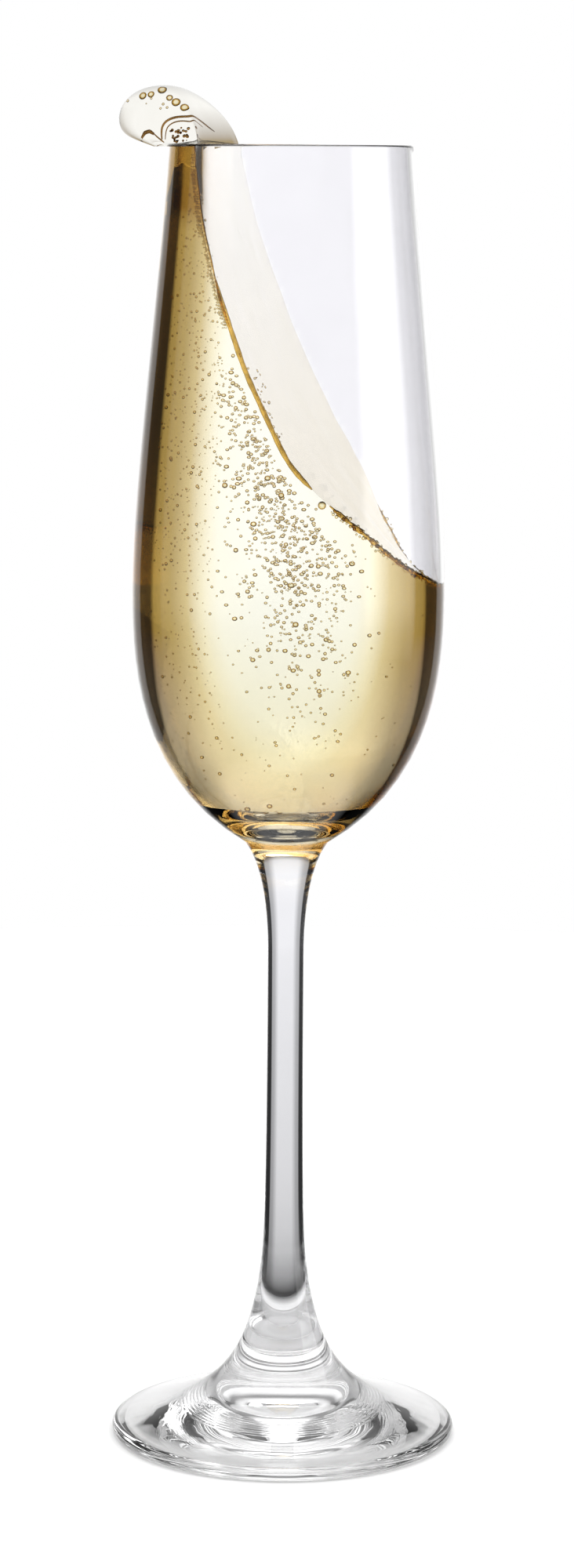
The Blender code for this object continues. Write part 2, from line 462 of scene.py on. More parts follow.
wine.data.update()
print("grid:", outline_count, "by", len(across_places), "places")

# %% Close the seam and the ends of the form
only(wine)
bpy.ops.object.mode_set(mode="EDIT")
bpy.ops.mesh.select_all(action="SELECT")
bpy.ops.mesh.remove_doubles(threshold=0.000001)
bpy.ops.mesh.select_all(action="DESELECT")
bpy.ops.mesh.select_mode(type="EDGE")
bpy.ops.mesh.select_non_manifold()
bpy.ops.mesh.edge_face_add()
bpy.ops.mesh.select_all(action="SELECT")
bpy.ops.mesh.normals_make_consistent(inside=False)
bpy.ops.object.mode_set(mode="OBJECT")
print("wave form triangles:", triangles(wine))

# %% [markdown]
# Real wine wets the wall with no air between. If both surfaces lay in one place, the render couldn't
# tell which it met first, and a gap would show as a bright silver skin. So the wine dips a little
# into the glass. A jacket is spun just as the glass was, from the same knots moved outwards by that
# dip, and a Boolean takes it away from the wave.

# %% Cut the wave with a jacket that follows the inside of the bowl
JACKET_BELLY = BELLY_INSIDE + DIP
JACKET_LIP = LIP_INSIDE + DIP
JACKET_ARC = (LIP_HALF - DIP) * ROUND
JACKET_OUT = 60.0     # far outside the glass
JACKET_DOWN = 20.0    # how far the jacket goes on below the well
JACKET_KNOTS = [
    ((0.0, WELL_HEIGHT - DIP), None, (15.5, WELL_HEIGHT - DIP)),
    ((JACKET_BELLY, BELLY_HEIGHT), (JACKET_BELLY, 130.0), (JACKET_BELLY, 174.0)),
    ((JACKET_LIP, LIP_LEVEL), (JACKET_LIP + 1.4, 213.0), (JACKET_LIP, LIP_LEVEL + JACKET_ARC)),
    (
        (LIP_RADIUS, HEIGHT - DIP),
        (LIP_RADIUS - JACKET_ARC, HEIGHT - DIP),
        (LIP_RADIUS + JACKET_ARC, HEIGHT - DIP),
    ),
    ((LIP_OUTSIDE - DIP, LIP_LEVEL), (LIP_OUTSIDE - DIP, LIP_LEVEL + JACKET_ARC), None),
    ((JACKET_OUT, LIP_LEVEL), None, None),
    ((JACKET_OUT, WELL_HEIGHT - JACKET_DOWN), None, None),
    ((0.0, WELL_HEIGHT - JACKET_DOWN), None, None),
]
jacket = draw_outline("jacket", JACKET_KNOTS, steps=32)
spin_about_axis(jacket, steps=160)
cut = wine.modifiers.new("Kept in the bowl", "BOOLEAN")
cut.operation = "DIFFERENCE"
cut.solver = "EXACT"
cut.object = jacket
apply_modifiers(wine)
bpy.data.objects.remove(jacket, do_unlink=True)
only(wine)
bpy.ops.object.shade_smooth_by_angle(angle=math.radians(35.0))
print("wine triangles:", triangles(wine))

# %% [markdown]
# The open face meets the wall in a long loop, the tide line. Above it the wall is dry, and below it
# the wall is wet. Nothing draws this loop, so it is found by halving: at each angle round the axis the
# height is narrowed down until the wall and the open face meet. Everything that lies along the wine's
# edge, and the change from dry to wet glass, is placed from this one list.

# %% The tide line
TIDE_STEPS = 420      # places along the whole line
TIDE_TOP = math.radians(52.0)     # nearer to the swing than this the wine reaches the lip


def tide_height(turn):
    """Height at which the open face meets the wall, at an angle from the swing direction."""
    low, high = FINER_FROM, LIP_LEVEL
    for _ in range(40):
        level = (low + high) / 2
        radius = bowl_radius(level)
        if radius * math.cos(turn) > face_along(radius * math.sin(turn), level):
            low = level
        else:
            high = level
    return (low + high) / 2


tide = []             # turn, x, y, height of the line on the wall
for step in range(TIDE_STEPS + 1):
    turn = TIDE_TOP + (math.tau - 2 * TIDE_TOP) * step / TIDE_STEPS
    level = tide_height(turn)
    radius = bowl_radius(level)
    x, y = from_swing(radius * math.cos(turn), radius * math.sin(turn))
    tide.append((turn, x, y, level))
front = [t for t in tide if t[2] < 0.0]
back = [t for t in tide if t[2] >= 0.0]
tide_turns = np.array([t[0] for t in tide])
tide_levels = np.array([t[3] for t in tide])
print("tide line:", len(front), "places in front,", len(back), "behind")
print("its lowest place:", round(min(tide_levels), 1))

# %% [markdown]
# Glass looks clearer where wine wets it, because less light turns back at that surface. The inner wall
# gets an attribute that is 1 where it is wet and 0 where it is dry, and the material reads it to paint
# shade on the dry part. A painted image would need an unwrapped surface; a value on each point needs none.

# %% Mark on the glass how wet its inner wall is
WET_FADE = 1.5        # height over which dry wall turns wet
wet = glass.data.attributes.new("wet", "FLOAT", "POINT")
wetness = []
for vertex in glass.data.vertices:
    radius = math.hypot(vertex.co.x, vertex.co.y) / MM
    level = vertex.co.z / MM
    inside = level > WELL_HEIGHT - 0.1 and radius < bowl_radius(level) + 0.2
    if not inside:
        wetness.append(1.0)
        continue
    along, across = to_swing(vertex.co.x, vertex.co.y)
    turn = math.atan2(across, along) % math.tau
    mark = HEIGHT
    if TIDE_TOP < turn < math.tau - TIDE_TOP:
        mark = float(np.interp(turn, tide_turns, tide_levels))
    wetness.append(smooth_step(0.5 + (mark - level) / WET_FADE))
wet.data.foreach_set("value", wetness)
print("dry points on the glass:", sum(w < 0.5 for w in wetness))

# %% [markdown]
# The wetted wall and the open wave get different finishes. A face lies on the wall when all its corners
# are as far from the axis as the bowl's inner wall is at their height. Behind the open face the wine is
# only a thin sheet, seen through the dry front, and that stretch of wall is kept apart too. Where it
# starts follows from how a line of sight bends: it crosses the round column of wine as through a
# lens, so it lands further round the far wall than it would in air.

# %% Sort the faces into wall, thin sheet, open wave and crest
WALL_SLACK = 0.03     # how exactly a corner has to lie on the wall
WALL, SHEET, OPEN, CREST, TOP = range(5)
front_order = sorted(front, key=lambda t: t[3])
front_levels = np.array([t[3] for t in front_order])
front_x = np.array([t[1] for t in front_order])
RAY_DROP = 6.0        # how far a line of sight sinks while it crosses the bowl
TURNING_SHARE = 0.85  # beyond it the landing places turn back towards the axis
COLUMN_TOP = 217.0    # the column's front gets its own finish above this height
CREST_FROM = FACE_TOP[1] + 3.0


def landing(share):
    """Where a sight line lands on the back wall after wine in front, as shares of the radius."""
    return math.sin(2.0 * math.asin(share / WINE_INDEX) - math.asin(share))


def on_sheet(x, level):
    """True where only sight lines that came in through the dry wall can land."""
    entry = min(level + RAY_DROP, LIP_LEVEL)
    radius = bowl_radius(level)
    if entry < front_levels[0]:
        return False
    share = max(-0.98, min(0.98, float(np.interp(entry, front_levels, front_x)) / bowl_radius(entry)))
    furthest = landing(min(share, TURNING_SHARE))
    return x > radius * max(furthest, (furthest + share) / 2.0)


def on_wall(place):
    """True where the wine touches the glass."""
    radius = math.hypot(place.x, place.y) / MM
    level = place.z / MM
    beside = abs(radius - wall_radius(level)) < WALL_SLACK and level < LIP_LEVEL + 0.01
    return beside or level < WELL_HEIGHT + 0.5


corner_on_wall = [on_wall(vertex.co) for vertex in wine.data.vertices]
kinds = []
for face in wine.data.polygons:
    if not all(corner_on_wall[v] for v in face.vertices):
        kinds.append(CREST if face.center.z > CREST_FROM * MM else OPEN)
    elif face.center.y > 0.0 and on_sheet(face.center.x / MM, face.center.z / MM):
        kinds.append(SHEET)
    elif face.center.y < 0.0 and face.center.z > COLUMN_TOP * MM:
        kinds.append(TOP)
    else:
        kinds.append(WALL)
for label, kind in (("wall", WALL), ("sheet", SHEET), ("open", OPEN), ("crest", CREST), ("column top", TOP)):
    print("faces on the", label + ":", kinds.count(kind))

# %% [markdown]
# ## Bubbles
# A bubble is a small hollow in the wine. Particles would be lost when the model is exported, and a
# solid bead would bend light the wrong way. So each bubble is a small ball turned inside out and
# joined to the wine: its wall belongs to the wine's own surface and faces into the hollow, which bends
# light at its rim, and its material adds a dark gold ring of painted shade there. Through the curved
# wine a bubble looks wider than it is and further from the axis, so places are chosen as they should
# look and then corrected.

# %% Where the wine is
SIGHT_SLOPE = 0.14    # rise of a line of sight per millimetre of depth
CLEAR_OF_LINE = 2.2   # height left free between a bubble and the edge of the wine


def in_wine(x, y, height, gap):
    """True when a ball of radius gap round the place stays inside the wine below the lip."""
    radius = math.hypot(x, y)
    for level in (height - gap, height, height + gap):
        if level < WELL_HEIGHT or radius + gap > wall_radius(level):
            return False
    if height + gap > FACE_TOP[1]:
        return False
    along, across = to_swing(x, y)
    return all(along - gap > face_along(across, level) for level in (height - gap, height, height + gap))


def wet_in_front(x, y, height):
    """True when the wall in front of the place, on the line of sight, is covered with wine."""
    height += (bowl_radius(height) + y) * SIGHT_SLOPE + CLEAR_OF_LINE
    radius = bowl_radius(height)
    y = -math.sqrt(max(0.0, radius ** 2 - x ** 2)) * 0.97
    return in_wine(x * 0.98, y, height, gap=0.1)


def seen_to_true(seen_x, y, height):
    """Undoes the sideways magnification of a round column of wine."""
    radius = bowl_radius(height)
    depth = max(0.05, radius + y)
    shrink = 1.0 - (WINE_INDEX - 1.0) * depth / (WINE_INDEX * radius)
    return seen_x * shrink


# %% Keeping bubbles apart
BUBBLE_SEED = 7
CLOUD_COUNT = 950
BAND_COUNT = 620
THIN_COUNT = 120
SKIN = 0.12           # wine left between a bubble and any surface
BETWEEN = 0.25        # wine left between two bubbles

chance = random.Random(BUBBLE_SEED)
bubbles = []          # x, y, height, radius in millimetres


def roomy(x, y, height, radius):
    """True when no bubble made so far is too near."""
    return all(
        (x - b[0]) ** 2 + (y - b[1]) ** 2 + (height - b[2]) ** 2 > (radius + b[3] + BETWEEN) ** 2
        for b in bubbles
    )


def try_bubble(seen_x, depth_share, height, radius):
    """Keeps a bubble if it fits, given where it should seem to be and its depth in the bowl."""
    y = depth_share * bowl_radius(height)
    x = seen_to_true(seen_x, y, height)
    fits = in_wine(x, y, height, radius + SKIN) and roomy(x, y, height, radius)
    if not fits or not wet_in_front(seen_x, y, height):
        return False
    bubbles.append((x, y, height, radius))
    return True


def below_tide(seen_x):
    """Height of the front tide line over a place."""
    ordered = sorted((t[1], t[3]) for t in front)
    return float(np.interp(seen_x, [p[0] for p in ordered], [p[1] for p in ordered]))


def bubble_radius(smallest, middle, largest, spread):
    """A random radius, most often near the middle one."""
    return min(largest, max(smallest, chance.lognormvariate(math.log(middle), spread)))


# %% The cloud in the middle, densest just under the wine's edge
tide_over = {x: below_tide(x) for x in range(-22, 28)}
placed = 0
while placed < CLOUD_COUNT:
    seen_x = chance.gauss(-2.0, 7.0)
    if not -13.0 < seen_x < 17.0:
        continue
    drop = abs(chance.gauss(0.0, 1.0)) * 17.0 + chance.random() * 8.0
    height = min(tide_over[round(seen_x)], 200.0) - 0.8 - drop
    if height < 122.0 or (seen_x > 8.0 and chance.random() < (seen_x - 8.0) / 12.0):
        continue
    radius = bubble_radius(0.15, 0.225, 0.50, spread=0.30)
    placed += try_bubble(seen_x, chance.uniform(-0.80, 0.30), height, radius)
print("cloud:", len(bubbles))

# %% Fine bubbles in a band near the wall that the wine climbs
placed = 0
while placed < BAND_COUNT:
    height = chance.uniform(130.0, 233.0)
    wall = bowl_radius(height)
    share = chance.uniform(0.50, 0.985)
    seen_x = -wall * share
    radius = bubble_radius(0.10, 0.15, 0.34, spread=0.38)
    if height < 160.0 and chance.random() < 0.6:
        continue
    depth_share = -math.sqrt(1.0 - share ** 2) * chance.uniform(0.8, 0.99)
    placed += try_bubble(seen_x, depth_share, height, radius)
print("with the band near the wall:", len(bubbles))

# %% A thin scatter low in the bowl
placed = 0
while placed < THIN_COUNT:
    height = chance.uniform(118.0, 165.0)
    seen_x = bowl_radius(height) * chance.uniform(-0.8, 0.97)
    radius = bubble_radius(0.10, 0.15, 0.30, spread=0.35)
    placed += try_bubble(seen_x, chance.uniform(-0.9, 0.3), height, radius)
print("with the thin scatter:", len(bubbles))

# %% [markdown]
# A few larger bubbles rest in the foot of the bowl and hang in the crest. Each of these is seen by
# itself, so they are placed one by one, and only moved or made smaller where they would break the skin.

# %% Bubbles resting in the foot of the bowl
WELL_DEPTH = -0.50    # share of the bowl's radius, towards the front
WELL_BUBBLES = [
    # seen x, height, radius
    (-6.9, 119.8, 0.50), (-3.0, 120.6, 0.46), (-7.6, 118.3, 0.34), (-3.1, 118.5, 0.28),
    (1.4, 118.8, 0.28), (-6.6, 116.5, 0.26), (-2.6, 117.0, 0.50), (-0.4, 117.2, 0.50),
    (-1.4, 116.1, 0.52), (-4.2, 116.2, 0.54), (8.5, 116.6, 0.3), (9.4, 117.6, 0.22),
    (-12.0, 125.9, 0.34),
]
for seen_x, height, radius in WELL_BUBBLES:
    if not try_bubble(seen_x, WELL_DEPTH, height, radius):
        print("no room for", seen_x, height)
print("with those in the foot of the bowl:", len(bubbles))

# %% Bubbles caught in the crest
CREST_BUBBLES = [
    # x, height, across, radius
    (-22.9, 243.75, 2.0, 0.80), (-26.1, 242.9, 3.0, 0.68), (-24.7, 243.1, 3.4, 0.60),
    (-21.5, 242.6, 6.0, 0.60), (-20.4, 241.8, 6.2, 0.76), (-19.0, 240.9, 7.0, 0.68),
    (-22.5, 241.5, 6.0, 0.26), (-21.8, 240.9, 6.0, 0.24), (-22.9, 240.8, 6.0, 0.22),
    (-28.6, 242.0, 1.0, 0.26), (-25.4, 241.6, 4.0, 0.16), (-24.6, 242.4, 3.6, 0.22),
]


def in_crest(along, across, height, gap):
    """True when a disc of radius gap stays inside the slice through the crest."""
    outline = wave_slice(across)
    inside = False
    for (a0, h0), (a1, h1) in zip(outline, outline[1:] + outline[:1]):
        if (h0 > height) != (h1 > height) and along < a0 + (height - h0) * (a1 - a0) / (h1 - h0):
            inside = not inside
        run = Vector((a1 - a0, h1 - h0))
        if run.length > 0.0:
            share = max(0.0, min(1.0, Vector((along - a0, height - h0)).dot(run) / run.length_squared))
            if math.hypot(a0 + share * run.x - along, h0 + share * run.y - height) < gap:
                return False
    return inside


def facing_place(x, across):
    """Turns a place as seen from the front, and its depth across the swing, into x and y."""
    return from_swing((x + across * SIN_SWING) / COS_SWING, across)


kept = 0
for x, height, across, radius in CREST_BUBBLES:
    along = (x + across * SIN_SWING) / COS_SWING
    while radius > 0.1 and not in_crest(along, across, height, radius + SKIN):
        height -= 0.05
        radius *= 0.98
    if in_crest(along, across, height, radius + SKIN):
        bubbles.append((*facing_place(x, across), height, radius))
        kept += 1
print("in the crest:", kept, "of", len(CREST_BUBBLES))

# %% [markdown]
# Over a thousand balls would take long if an operator made each one. One ico sphere is made for each
# fineness, its corners are copied to every place at once, and a larger bubble gets a finer sphere.

# %% Balls of several finenesses
BALL_SIZES = (
    # smallest radius, largest radius, subdivisions
    (0.0, 0.17, 1), (0.17, 0.45, 2), (0.45, 9.0, 3),
)


def add_balls(name, places, sizes=BALL_SIZES):
    """Joins round balls at the places into one object."""
    made = []
    for smallest, largest, fineness in sizes:
        chosen = [p for p in places if smallest <= p[3] < largest]
        if not chosen:
            continue
        start_clean()
        bpy.ops.mesh.primitive_ico_sphere_add(subdivisions=fineness, radius=1.0, location=(0.0, 0.0, 0.0))
        pattern = bpy.context.object
        corners = np.array([v.co[:] for v in pattern.data.vertices])
        faces = np.array([f.vertices[:] for f in pattern.data.polygons])
        bpy.data.objects.remove(pattern, do_unlink=True)
        centres = np.array([p[:3] for p in chosen]) * MM
        radii = np.array([p[3] for p in chosen]) * MM
        points = (corners[None, :, :] * radii[:, None, None] + centres[:, None, :]).reshape(-1, 3)
        offsets = np.arange(len(chosen)) * len(corners)
        loops = (faces[None, :, :] + offsets[:, None, None]).reshape(-1, 3)
        data = bpy.data.meshes.new(name)
        data.from_pydata(points.tolist(), [], loops.tolist())
        ball = bpy.data.objects.new(name, data)
        bpy.context.scene.collection.objects.link(ball)
        made.append(ball)
    joined = join_all(made, name)
    joined.data.shade_smooth()
    return joined


# %% Turn the balls inside out, so that each is a hollow
hollows = add_balls("bubbles", bubbles)
only(hollows)
bpy.ops.object.mode_set(mode="EDIT")
bpy.ops.mesh.select_all(action="SELECT")
bpy.ops.mesh.flip_normals()
bpy.ops.object.mode_set(mode="OBJECT")
print("bubble triangles:", triangles(hollows))

# %% [markdown]
# ## Tide line, froth and the edges of the curl
# Where the open wine meets the wall it stands up in a thin roll, which reads as a dark amber line. The
# curl over the lip has such rolls too, where it folds. Each is a strand: a smooth path with a round
# bevel, whose thickness changes from place to place as surface tension makes it. A bevelled path is
# simpler than an extruded ring, and it can't pinch or twist.

# %% Strands
STRAND_SIDES = 3
STRAND_SMOOTHNESS = 4


def add_strand(name, points):
    """Draws a round strand through (x, y, height, radius) places, all in millimetres."""
    start_clean()
    bpy.ops.curve.primitive_nurbs_path_add(location=(0.0, 0.0, 0.0))
    line = bpy.context.object
    line.name = name
    spline = line.data.splines[0]
    default_count = len(spline.points)
    if len(points) <= default_count:
        shares = np.linspace(0.0, len(points) - 1, default_count + 2)
        columns = [np.interp(shares, range(len(points)), part) for part in zip(*points)]
        points = list(zip(*columns))
    spline.points.add(len(points) - default_count)
    for point, (x, y, height, radius) in zip(spline.points, points):
        point.co = (x * MM, y * MM, height * MM, 1.0)
        point.radius = radius
    spline.order_u = 3
    spline.use_endpoint_u = True
    line.data.resolution_u = STRAND_SMOOTHNESS
    line.data.bevel_depth = MM
    line.data.bevel_resolution = STRAND_SIDES
    line.data.use_fill_caps = True
    only(line)
    bpy.ops.object.convert(target="MESH")
    made = bpy.context.object
    made.data.shade_smooth()
    return made


def wobble(step, seed):
    """A smooth random swelling between about -1 and 1."""
    return 0.6 * math.sin(step * 0.61 + seed) + 0.4 * math.sin(step * 1.37 + 2.1 * seed)


# %% Strands along the tide line
FADE_STEPS = 6        # a strand thins out over this many places at each end
LEAST_SHARE = 0.25    # and this much of it is left at the very end


def tide_strand(name, chosen, thickness, inwards, swell, seed):
    """A strand along a stretch of the tide line, sunk a little way in from the wall."""
    points = []
    for number, (turn, x, y, level) in enumerate(chosen):
        radius = bowl_radius(level) - inwards
        px, py = from_swing(radius * math.cos(turn), radius * math.sin(turn))
        from_end = min(number, len(chosen) - 1 - number)
        fade = min(1.0, from_end / FADE_STEPS + LEAST_SHARE)
        points.append((px, py, level, thickness * fade * (1.0 + swell * wobble(number, seed))))
    return add_strand(name, points)


upper = [t for t in front if t[3] > 203.0]
middle = [t for t in front if 176.0 < t[3] <= 212.0]
lower = [t for t in front if t[3] <= 173.5]
behind = [t for t in back if t[3] <= 170.0]
strands = [
    tide_strand("tide_upper", upper, thickness=0.13, inwards=0.05, swell=0.2, seed=1.0),
    tide_strand("tide_middle", middle, thickness=0.44, inwards=0.18, swell=0.12, seed=2.0),
    tide_strand("tide_lower", lower, thickness=0.40, inwards=0.16, swell=0.35, seed=3.0),
    tide_strand("tide_back", behind, thickness=0.30, inwards=0.14, swell=0.4, seed=4.0),
]
print("strands along the tide line:", [len(s.data.polygons) for s in strands])

# %% Strands in the folds of the curl
CURL_FOLDS = {
    # seen x, height, across the swing, radius
    "hollow_arch": [
        (-22.5, 235.7, 9.0, 0.14), (-22.7, 237.2, 9.0, 0.18), (-22.2, 238.5, 8.5, 0.20),
        (-21.0, 239.2, 8.0, 0.22), (-19.4, 239.4, 7.0, 0.20), (-17.8, 239.15, 5.5, 0.18),
        (-16.2, 238.5, 3.0, 0.19), (-14.9, 237.7, 0.5, 0.17), (-13.9, 237.1, -2.0, 0.08),
    ],
    "hollow_arch_inside": [
        (-21.9, 235.7, 9.0, 0.08), (-21.9, 237.4, 9.0, 0.10), (-20.9, 238.4, 8.0, 0.12),
        (-19.4, 238.7, 7.0, 0.12), (-17.9, 238.4, 5.5, 0.10), (-16.4, 237.7, 3.5, 0.06),
    ],
    "pocket_cap": [
        (-25.9, 236.2, 4.0, 0.20), (-25.4, 236.9, 4.0, 0.34), (-24.6, 237.1, 4.0, 0.34),
        (-23.8, 236.6, 4.0, 0.2),
    ],
    "pocket_edge": [
        (-24.0, 236.8, 5.0, 0.10), (-23.2, 236.1, 5.0, 0.12), (-22.4, 235.5, 5.0, 0.12),
        (-22.0, 235.2, 5.0, 0.08),
    ],
}
for name, places in CURL_FOLDS.items():
    points = [(*facing_place(x, across), height, radius) for x, height, across, radius in places]
    strands.append(add_strand(name, points))
print("strands with the folds:", [len(s.data.polygons) for s in strands])

# %% A knot of small amber swirls where the curl leaves the lip
KNOT_COUNT = 34
knot = []
for _ in range(KNOT_COUNT):
    x = chance.uniform(-21.1, -17.8)
    height = 235.3 + chance.random() ** 1.5 * 2.5
    across = chance.uniform(6.5, 8.0)
    knot.append((*facing_place(x, across), height, chance.uniform(0.10, 0.30)))
strands.append(add_balls("knot", knot, sizes=((0.0, 9.0, 2),)))
print("swirls in the knot:", len(knot))

# %% [markdown]
# Froth is the foam of tiny bubbles left where the wine has just passed: a few rows of beads beside the
# upper tide line, and loose beads where the wine is lowest. Beads are plain balls here, because they
# lie outside the wine. They share the seeded random numbers with the bubbles, so that every run of
# the script makes the same froth.

# %% Beads beside the upper tide line, and loose ones lower down
froth_places = []


def bead(turn, level, inwards, size):
    """Keeps a place for a bead on the wall, at an angle from the swing direction."""
    radius = bowl_radius(level) - inwards
    froth_places.append((*from_swing(radius * math.cos(turn), radius * math.sin(turn)), level, size))


for turn, x, y, level in front:
    radius = bowl_radius(level)
    if level > 204.0:
        rows = (0.5, 0.95, 1.4) if level > 219.0 else (0.5, 0.9)
        for lane in rows:
            for shift in (0.0, 0.45, 0.9, 1.35):
                if chance.random() < 0.85:
                    place = turn - (lane + chance.uniform(-0.05, 0.05)) / radius
                    bead(place, level + shift - 0.5, 0.05, chance.uniform(0.13, 0.19))
    elif 160.0 < level < 172.5:
        for _ in range(2):
            place = turn - chance.uniform(-0.6, 0.9) / radius
            bead(place, level + chance.uniform(-0.7, 0.5), 0.1, chance.uniform(0.14, 0.34))
for turn, x, y, level in back:
    if 158.0 < level < 169.0:
        for _ in range(2):
            place = turn + chance.uniform(-0.5, 0.8) / bowl_radius(level)
            bead(place, level + chance.uniform(-0.5, 0.6), 0.1, chance.uniform(0.12, 0.30))
print("beads along the tide line:", len(froth_places))

# %% Fine froth where the wine is lowest, and one large bead, then all beads as one piece
LOW_FROTH_COUNT = 260
LARGE_BEAD = (5.6, -25.1, 173.4, 0.72)
lowest = min(tide, key=lambda t: t[3])
for _ in range(LOW_FROTH_COUNT):
    turn = lowest[0] + chance.uniform(-0.75, 0.75)
    level = float(np.interp(turn, tide_turns, tide_levels)) + chance.uniform(-0.9, 0.25)
    bead(turn, level, chance.uniform(0.0, 0.3), chance.uniform(0.08, 0.17))
froth_places.append(LARGE_BEAD)
froth = add_balls("froth", froth_places, sizes=((0.0, 0.5, 2), (0.5, 9.0, 3)))
print("froth beads:", len(froth_places), "triangles:", triangles(froth))

# %% Join the strands
tide_line = join_all(strands, "tide_line")
only(tide_line)
bpy.ops.object.mode_set(mode="EDIT")
bpy.ops.mesh.select_all(action="SELECT")
bpy.ops.mesh.normals_make_consistent(inside=False)
bpy.ops.object.mode_set(mode="OBJECT")
print("tide line triangles:", triangles(tide_line))

# %% [markdown]
# ## Materials
# Glass and wine get their looks from what they bend and from how their colour deepens. The same few
# nodes come back in every material: a ramp along a height, a ramp over how far the surface turns away
# from the eye, and a product of two colours. So each has its own helper, and a material reads as a
# short list of what colours it.

# %% Material helpers
WHITE = (1.0, 1.0, 1.0)
BLACK = (0.0, 0.0, 0.0)


def new_material(name):
    """A material with nodes, with its nodes and its links."""
    made = bpy.data.materials.new(name)
    made.use_nodes = True
    return made, made.node_tree.nodes, made.node_tree.links


def ramp_node(nodes, stops):
    """A colour ramp with the given (position, colour) stops."""
    node = nodes.new("ShaderNodeValToRGB")
    elements = node.color_ramp.elements
    while len(elements) < len(stops):
        elements.new(1.0)
    for element, (position, colour) in zip(elements, stops):
        element.position = position
        element.color = (*colour, 1.0)
    return node


def mix_node(nodes, blend):
    """A mix of two colours, at full strength until something is linked to its factor."""
    node = nodes.new("ShaderNodeMix")
    node.data_type = "RGBA"
    node.blend_type = blend
    node.inputs["Factor"].default_value = 1.0
    return node


def as_glass(shader, index, roughness=0.0):
    """Sets a surface to let light through, bent by the given index."""
    shader.inputs["Roughness"].default_value = roughness
    shader.inputs["IOR"].default_value = index
    shader.inputs["Transmission Weight"].default_value = 1.0


# %% Ramps over a place and over the slant of the surface


def place_ramp(nodes, links, axis, low, high, stops):
    """A colour ramp along one axis of the object, between two places in metres."""
    place = nodes.new("ShaderNodeTexCoord")
    split = nodes.new("ShaderNodeSeparateXYZ")
    links.new(place.outputs["Object"], split.inputs[0])
    share = nodes.new("ShaderNodeMapRange")
    share.inputs["From Min"].default_value = low
    share.inputs["From Max"].default_value = high
    links.new(split.outputs[axis], share.inputs["Value"])
    ramp = ramp_node(nodes, stops)
    links.new(share.outputs["Result"], ramp.inputs[0])
    return ramp.outputs["Color"]


def slant_ramp(nodes, links, stops):
    """A colour ramp over how far the surface turns away from the line of sight."""
    slant = nodes.new("ShaderNodeLayerWeight")
    slant.inputs["Blend"].default_value = 0.5
    ramp = ramp_node(nodes, stops)
    links.new(slant.outputs["Facing"], ramp.inputs[0])
    return ramp.outputs["Color"]


# %% Small unevenness of colour and surface


def mottled(nodes, links, colour, scale, low):
    """Varies a colour slightly with a cloudy noise, down to a share of itself."""
    place = nodes.new("ShaderNodeTexCoord")
    noise = nodes.new("ShaderNodeTexNoise")
    noise.inputs["Scale"].default_value = scale
    noise.inputs["Detail"].default_value = 4.0
    links.new(place.outputs["Object"], noise.inputs["Vector"])
    patches = ramp_node(nodes, [(0.35, (low, low, low)), (0.65, WHITE)])
    links.new(noise.outputs["Fac"], patches.inputs[0])
    varied = mix_node(nodes, "MULTIPLY")
    links.new(colour, varied.inputs["A"])
    links.new(patches.outputs["Color"], varied.inputs["B"])
    return varied.outputs["Result"]


def gently_uneven(nodes, links, shader, scale, distance):
    """Bumps a surface with soft swells drawn out upwards, as blown glass has."""
    place = nodes.new("ShaderNodeTexCoord")
    stretch = nodes.new("ShaderNodeMapping")
    stretch.inputs["Scale"].default_value = (scale, scale, scale / 6.0)
    noise = nodes.new("ShaderNodeTexNoise")
    noise.inputs["Scale"].default_value = 1.0
    noise.inputs["Detail"].default_value = 1.0
    bump = nodes.new("ShaderNodeBump")
    bump.inputs["Strength"].default_value = 1.0
    bump.inputs["Distance"].default_value = distance
    links.new(place.outputs["Object"], stretch.inputs["Vector"])
    links.new(stretch.outputs["Vector"], noise.inputs["Vector"])
    links.new(noise.outputs["Fac"], bump.inputs["Height"])
    links.new(bump.outputs["Normal"], shader.inputs["Normal"])


# %% [markdown]
# Clear glass has no colour of its own, but a thick or a dry stretch of it looks faintly grey. Here that
# grey is painted shade with a faint violet cast: the dry inner wall and the stem get it as a tint of the
# light that passes, and the surface has soft swells as blown glass has. A darker light would grey the
# wine too, so the painted tint is the better way.

# %% Clear glass, with painted shade where it is dry inside and down the stem
GLASS_INDEX = 1.5
DRY_PAINTED_SHADE = (0.887, 0.880, 0.920)

clear_glass, nodes, links = new_material("clear_glass")
shader = nodes["Principled BSDF"]
as_glass(shader, GLASS_INDEX)
wetness_node = nodes.new("ShaderNodeAttribute")
wetness_node.attribute_name = "wet"
# Painted shade on the dry inner wall, none where the wall is wet.
dry_wall_shade = mix_node(nodes, "MIX")
links.new(wetness_node.outputs["Fac"], dry_wall_shade.inputs["Factor"])
dry_wall_shade.inputs["A"].default_value = (*DRY_PAINTED_SHADE, 1.0)
dry_wall_shade.inputs["B"].default_value = (*WHITE, 1.0)
# Painted shade: grey down the stem.
stem_painted_shade = place_ramp(nodes, links, "Z", 0.0, HEIGHT * MM, [
    (0.0, WHITE), (0.15, (0.77, 0.77, 0.79)), (0.42, (0.79, 0.79, 0.82)), (0.5, WHITE),
])
glass_painted_shade = mix_node(nodes, "MULTIPLY")
links.new(dry_wall_shade.outputs["Result"], glass_painted_shade.inputs["A"])
links.new(stem_painted_shade, glass_painted_shade.inputs["B"])
mottled_glass_shade = mottled(nodes, links, glass_painted_shade.outputs["Result"], scale=90.0, low=0.985)
links.new(mottled_glass_shade, shader.inputs["Base Color"])
gently_uneven(nodes, links, shader, scale=160.0, distance=0.00004)
glass.data.materials.clear()
glass.data.materials.append(clear_glass)
print("clear glass:", len(nodes), "nodes")

